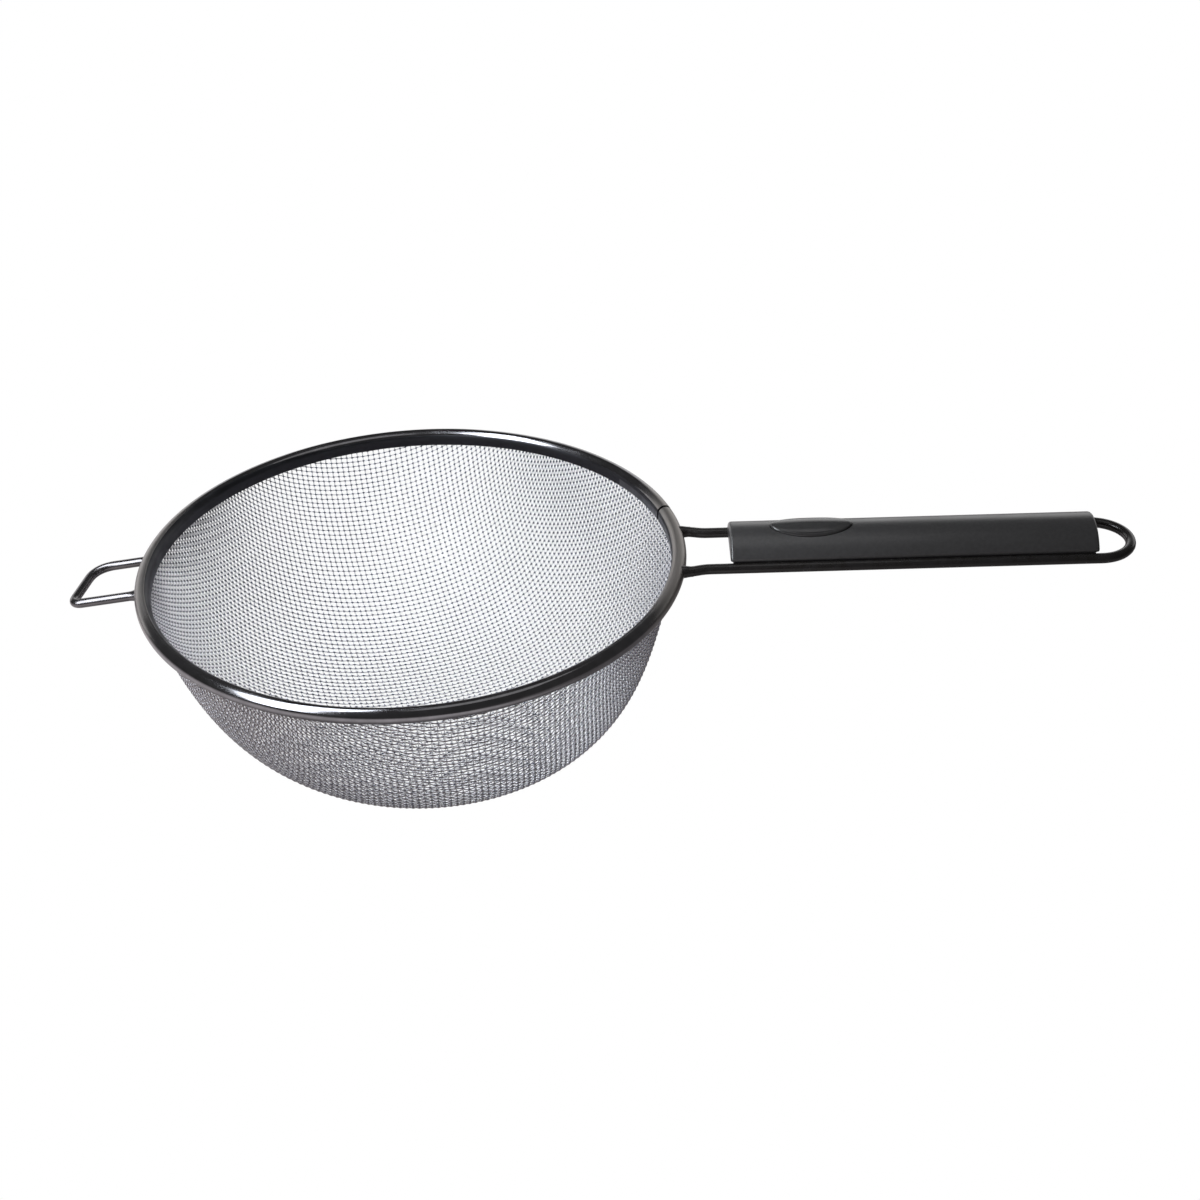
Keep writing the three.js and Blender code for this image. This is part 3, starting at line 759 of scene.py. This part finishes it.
def finish_inside(band, shade_metal, lit_skirt):
    """Paints shade on the roll's inner flank, its skirt and its ends, and a lighter painted reflection
    on the skirt by the seam.
    """
    band.data.materials.append(shade_metal)
    band.data.materials.append(lit_skirt)
    shade_slot, lit_skirt_slot = 1, 2
    for face in band.data.polygons:
        spot = face.center - RIM_CENTRE
        angle = math.atan2(spot.y, spot.x)
        shade_start = np.interp(math.cos(angle), SHADE_START_CHANGE, (HOOK_SIDE_SHADE_START, ROLL_SHADE_START))
        tilt = math.atan2(RIM_RADIUS * MM - math.hypot(spot.x, spot.y), spot.z)
        end_cap = len(face.vertices) > 4
        by_seam = spot.z < 0 and LIT_SKIRT_SPAN[0] < angle < LIT_SKIRT_SPAN[1]
        # The seam's end faces take the near-black painted shade
        if end_cap:
            face.material_index = shade_slot
        elif tilt > shade_start:
            face.material_index = lit_skirt_slot if by_seam else shade_slot


# Wires and welds

def handle_path():
    """Along the near leg from the rim, round the loop and back along the far leg."""
    splayed = LEG_Y + LEG_SPLAY
    start = math.sqrt((RIM_RADIUS + BAND_OUTER) ** 2 - splayed ** 2)
    straight = start + LEG_SPLAY_LENGTH
    bend = (start + straight) / 2
    centre = LOOP_TIP - LEG_Y
    leg = chain(
        line((start - WIRE_INSET, -splayed), (start, -splayed), steps=1),
        bezier((start, -splayed), (bend, -splayed), (bend, -LEG_Y), (straight, -LEG_Y), steps=14),
        line((straight, -LEG_Y), (centre, -LEG_Y), steps=24),
    )
    loop = arc((centre, 0), LEG_Y, -math.pi / 2, math.pi / 2, steps=48)
    path = chain(leg, loop, leg[::-1] * (1, -1))
    return np.column_stack([path, np.zeros(len(path))])


def hook_path():
    """Out along the near leg, across the skewed end bar and back, dipping towards its end."""
    start = math.sqrt(RIM_RADIUS ** 2 - HOOK_HALF ** 2)
    out = math.sqrt((RIM_RADIUS + BAND_OUTER) ** 2 - HOOK_HALF ** 2) - WIRE_INSET
    near, far = start + HOOK_REACH_NEAR, start + HOOK_REACH_FAR
    skew = (near - far) / (2 * HOOK_HALF)
    near_bend = round_corner(
        (near - HOOK_BEND_NEAR, -HOOK_HALF),
        (near, -HOOK_HALF),
        (near - skew * HOOK_BEND_NEAR, HOOK_BEND_NEAR - HOOK_HALF),
    )
    far_bend = round_corner(
        (far + skew * HOOK_BEND_FAR, HOOK_HALF - HOOK_BEND_FAR),
        (far, HOOK_HALF),
        (far - HOOK_BEND_FAR, HOOK_HALF),
    )
    path = chain(
        line((out, -HOOK_HALF), near_bend[0], steps=8),
        near_bend,
        line(near_bend[-1], far_bend[0], steps=6),
        far_bend,
        line(far_bend[-1], (out, HOOK_HALF), steps=8),
    )
    dip = (HOOK_TIP_DROP - HOOK_WELD_DROP) / HOOK_REACH_NEAR
    drop = HOOK_WELD_DROP + dip * (path[:, 0] - start)
    return np.column_stack([-path[:, 0], path[:, 1], -drop])


def make_wire(name, path, radius, sides=20):
    """A bent round wire."""
    ups = np.tile((0.0, 0.0, 1.0), (len(path), 1))
    return mesh_object(name, tube(path, ups, radius, sides), ring_faces(len(path), sides), METAL_SHARP)


def make_weld(name, start, along, wire_radius, bead_radius):
    """A bead round a wire that flares onto the rim, a little uneven as welds are."""
    turn = 2 * np.pi * np.arange(BEAD_SIDES) / BEAD_SIDES
    along = unit(np.asarray(along, float))
    side = unit(np.cross(along, (0, 0, 1.0)))
    up = np.cross(side, along)
    spokes = np.cos(turn)[:, None] * side + np.sin(turn)[:, None] * up
    uneven = 1
    for waves, shift, height in BEAD_WAVES:
        uneven = uneven + height * np.sin(waves * turn + shift * start[1])
    vertices = []
    for distance, share in BEAD_PROFILE:
        radius = wire_radius + (bead_radius - wire_radius) * share * uneven
        vertices.append(start + along * distance + radius[:, None] * spokes)
    faces = ring_faces(len(BEAD_PROFILE), BEAD_SIDES)
    return mesh_object(name, np.concatenate(vertices), faces, WELD_SHARP)


# Grip

def grip_section(inset, floor):
    """The arch's outline in (Y, Z) drawn in by an inset, with its two lower edges rounded."""
    half, radius = GRIP_HALF - inset, ARCH_RADIUS - inset
    shoulder = math.acos(min(1, half / radius))
    arch = arc((0, ARCH_CENTRE), radius, shoulder, math.pi - shoulder, steps=44)
    edge_centre = (half - GRIP_EDGE_ROUND, floor + GRIP_EDGE_ROUND)
    right = arc(edge_centre, GRIP_EDGE_ROUND, -math.pi / 2, 0, steps=4)
    left = right[::-1] * (-1, 1)
    return np.concatenate([right, arch, left])


def loft(name, stations):
    """A closed solid through sections (X, outline in Y and Z)."""
    vertices = [np.column_stack([np.full(len(outline), x), outline]) for x, outline in stations]
    sides = len(stations[0][1])
    return mesh_object(name, np.concatenate(vertices), ring_faces(len(stations), sides))


def prism(name, start, end, outline):
    """A closed solid with the same section from one X to another."""
    return loft(name, [(start, outline), (end, outline)])


def end_stations(start, end, radius, steps=6):
    """Places along X with the inset that rounds both ends."""
    turn = np.linspace(0, math.pi / 2, steps + 1)
    rise = [(radius * (1 - math.cos(t)), radius * (1 - math.sin(t))) for t in turn]
    first = [(start + along, inset) for along, inset in rise]
    last = [(end - along, inset) for along, inset in reversed(rise)]
    return first + last


def arch_height(y, radius):
    """Height of a circle about the arch's axis."""
    return ARCH_CENTRE + math.sqrt(radius ** 2 - y ** 2)


def pad_disc(name, rings, sides=72):
    """A closed solid from oval rings, each with a margin and a height as a function of Y."""
    turn = 2 * np.pi * np.arange(sides) / sides
    vertices = []
    for share, margin, height in rings:
        x = PAD_X + np.cos(turn) * (PAD_HALF_LENGTH * share + margin)
        y = np.sin(turn) * (PAD_HALF_WIDTH * share + margin)
        vertices.append(np.column_stack([x, y, [height(v) for v in y]]))
    return mesh_object(name, np.concatenate(vertices), ring_faces(len(rings), sides))


def pad_pocket():
    """The room that the pad takes in the grip."""
    floor = ARCH_RADIUS - PAD_SEAT - PAD_GROOVE
    rings = []
    for share in np.linspace(PAD_HUB, 1, 8):
        rings.append((share, PAD_GROOVE * share, lambda y: arch_height(y, floor)))
    rings.append((1, PAD_GROOVE, lambda y: POCKET_TOP))
    return pad_disc("pad_room", rings)


def make_grip():
    """A hollow arch with rounded ends, whose walls and cross ribs reach down between the wires."""
    stations = end_stations(GRIP_START, GRIP_END, GRIP_END_ROUND)
    grip = loft("grip", [(x, grip_section(inset, GRIP_EDGE)) for x, inset in stations])
    seat = grip_section(GRIP_HALF - SEAT_HALF, SEAT_FLOOR)
    change(grip, prism("seat", GRIP_START + GRIP_END_ROUND, GRIP_END - GRIP_END_ROUND, seat), "UNION")
    inner = grip_section(GRIP_WALL, -GRIP_CROWN)
    hollow = prism("hollow", GRIP_START + GRIP_END_WALL, GRIP_END - GRIP_END_WALL, inner)
    change(grip, hollow, "DIFFERENCE")
    spacing = (GRIP_LENGTH - 2 * RIB_END_OFFSET - RIB_THICKNESS) / (RIB_COUNT - 1)
    for k in range(RIB_COUNT):
        x = GRIP_START + RIB_END_OFFSET + k * spacing
        change(grip, prism("rib", x, x + RIB_THICKNESS, seat), "UNION")
    wire_room = make_wire("wire_room", handle_path(), HANDLE_RADIUS + WIRE_ROOM, sides=24)
    change(grip, wire_room, "DIFFERENCE")
    change(grip, pad_pocket(), "DIFFERENCE")
    smooth(grip, GRIP_SHARP)
    return grip


def make_pad():
    """A domed oval whose edge is rounded down into its groove."""
    rings = []
    for share in np.linspace(PAD_HUB, 1, 5):
        rings.append((share, 0, lambda y: arch_height(y, ARCH_RADIUS - PAD_SEAT)))
    edge = PAD_EDGE_RISE - PAD_EDGE_ROUND
    for t in np.linspace(0, math.pi / 2, 6):
        margin = -PAD_EDGE_ROUND * (1 - math.cos(t))
        lift = edge + PAD_EDGE_ROUND * math.sin(t)
        rings.append((1, margin, lambda y, lift=lift: arch_height(y, ARCH_RADIUS) + lift))
    for share in np.linspace(PAD_DOME_START, PAD_HUB, 12):
        crown = PAD_EDGE_RISE + (PAD_RISE - PAD_EDGE_RISE) * (1 - share ** 2)
        rings.append((share, 0, lambda y, crown=crown: arch_height(y, ARCH_RADIUS) + crown))
    return pad_disc("pad", rings)


# Stage

def make_sheet(name, corners):
    """A flat sheet, with corners in metres in the part's frame."""
    mesh = bpy.data.meshes.new(name)
    mesh.from_pydata(corners, [], [tuple(range(len(corners)))])
    return add_object(name, mesh)


def make_floor():
    """A white sweep. The object sees it dim in the bowl's shade, far away and at the handle's side."""
    size = FLOOR_SIZE
    floor = make_sheet("floor", [(-size, -size, 0), (size, -size, 0), (size, size, 0), (-size, size, 0)])
    floor.location.z = -FLOOR_DROP
    material, shader = new_material("floor", (0, 0, 0), metallic=0.0, roughness=1.0, specular=0)
    length = add_node(material, "ShaderNodeVectorMath", {0: object_place(material)}, operation="LENGTH")
    away = length.outputs["Value"]
    shade = remap(material, away, FLOOR_SHADE_SPAN, (FLOOR_SHADE, FLOOR_LIGHT))
    dim = remap(material, away, FLOOR_FAR_SPAN, (1, FLOOR_FAR / FLOOR_LIGHT))
    right = remap(material, place_parts(material)["X"], FLOOR_RIGHT_SPAN, (1, FLOOR_RIGHT))
    lit = combine(material, "MULTIPLY", combine(material, "MULTIPLY", shade, dim), right)
    seen = camera_ray(material)
    feed(material, mix_colours(material, seen, FLOOR_COLOUR, WHITE), shader.inputs["Emission Color"])
    feed(material, mix(material, seen, lit, 1.0), shader.inputs["Emission Strength"])
    floor.data.materials.append(material)


def make_world():
    """White to the camera and a dark room to the object."""
    world = bpy.data.worlds.new("studio")
    bpy.context.scene.world = world
    world.use_nodes = True
    light = world.node_tree.nodes["Background"]
    light.inputs["Color"].default_value = WHITE
    feed(world, mix(world, camera_ray(world), ROOM_LIGHT, 1.0), light.inputs["Strength"])


def make_light(name, corners, colour, strength):
    """A lit sheet that the camera doesn't see, by its material and shader."""
    sheet = make_sheet(name, corners)
    sheet.visible_camera = False
    material, shader = new_material(name, (0, 0, 0), metallic=0.0, roughness=1.0, specular=0)
    shader.inputs["Emission Color"].default_value = colour
    shader.inputs["Emission Strength"].default_value = strength
    sheet.data.materials.append(material)
    return material, shader


def make_backdrop():
    """A pale sheet behind the object, which fades upwards and has a dark gap."""
    y, wide, high = BACKDROP_PLACE, BACKDROP_HALF_WIDTH, BACKDROP_HEIGHT
    corners = [(-wide, y, 0), (wide, y, 0), (wide, y, high), (-wide, y, high)]
    material, shader = make_light("backdrop", corners, WHITE, BACKDROP_LIGHT)
    parts = place_parts(material)
    fade = remap(material, parts["Z"], BACKDROP_FADE, (BACKDROP_LIGHT, 0))
    aside = combine(material, "SUBTRACT", parts["X"], BACKDROP_GAP)
    gap = remap(material, combine(material, "ABSOLUTE", aside), GAP_SPAN, (GAP_LIGHT, 1))
    feed(material, combine(material, "MULTIPLY", fade, gap), shader.inputs["Emission Strength"])


def make_panel():
    """The main light: a large soft panel overhead."""
    corners = [RIM_CENTRE + Vector((x, y, PANEL_HEIGHT)) for x, y in PANEL_CORNERS]
    make_light("panel", corners, PANEL_COLOUR, PANEL_LIGHT)


def make_fill():
    """A weak light over the bowl's right side and the grip."""
    (left, right), (front, back) = FILL_X, FILL_Y
    outline = ((left, front), (right, front), (right, back), (left, back))
    make_light("fill", [(x, y, FILL_HEIGHT) for x, y in outline], WHITE, FILL_LIGHT)


def make_camera():
    """The photograph's view."""
    data = bpy.data.cameras.new("camera")
    data.sensor_width = CAMERA_SENSOR
    data.lens = CAMERA_LENS
    data.clip_start = CAMERA_NEAREST
    camera = add_object("camera", data)
    right = Vector(CAMERA_RIGHT).normalized()
    forward = Vector(CAMERA_FORWARD).normalized()
    up = right.cross(forward).normalized()
    right = forward.cross(up)
    spin = Matrix((right, up, -forward)).transposed().to_4x4()
    camera.matrix_world = Matrix.Translation(RIM_CENTRE + Vector(CAMERA_PLACE)) @ spin
    bpy.context.scene.camera = camera


# The pieces

hook_metal, _ = make_gunmetal("hook_gunmetal", (0.15, 0.143, 0.147), polished=0.2, smeared=0.27)
black_wire = make_black_wire()
mesh_steel = make_mesh_steel()
painted_shade_gunmetal = make_painted_shade_gunmetal()

net = full_net()
directions = (
    ("lengthwise", np.swapaxes(net, 0, 1), 0, LENGTHWISE_OUTER_SHADE),
    ("crosswise", net, 1, CROSSWISE_OUTER_SHADE),
)
for direction, rows, parity, levels in directions:
    for number, group in enumerate(wire_groups(rows), 1):
        wires = make_wires(f"mesh_wires_{direction}_{number}", rows, group, parity, levels)
        finish_piece(wires, mesh_steel, "mesh_steel", "mesh_bowl")

band = make_rim_band()
finish_piece(band, make_band_metal(), "gunmetal", "rim_band")
finish_inside(band, painted_shade_gunmetal, make_painted_light_skirt())
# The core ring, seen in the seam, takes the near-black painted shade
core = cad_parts["rim_core_ring"]
core.data.materials.clear()
core.data.materials.append(painted_shade_gunmetal)

handle = handle_path()
finish_piece(make_wire("handle", handle, HANDLE_RADIUS), black_wire, "gunmetal", "handle_wire")
hook = hook_path()
finish_piece(make_wire("hook", hook, HOOK_RADIUS), hook_metal, "gunmetal", "hook_wire")

for side, start in (("near", handle[0]), ("far", handle[-1])):
    weld = make_weld(f"handle_bead_{side}", start, (1, 0, 0), HANDLE_RADIUS, HANDLE_BEAD)
    finish_piece(weld, black_wire, "gunmetal", f"handle_weld_{side}")
for side, start, ahead in (("near", hook[0], hook[1]), ("far", hook[-1], hook[-2])):
    weld = make_weld(f"hook_bead_{side}", start, ahead - start, HOOK_RADIUS, HOOK_BEAD)
    finish_piece(weld, hook_metal, "gunmetal", f"hook_weld_{side}")

finish_piece(make_grip(), make_grip_black(), "grip_black", "grip_shell")
finish_piece(make_pad(), make_pad_black(), "pad_black", "thumb_pad")

make_floor()
make_world()
make_backdrop()
make_panel()
make_fill()
make_camera()
bpy.context.scene.view_settings.view_transform = "Standard"
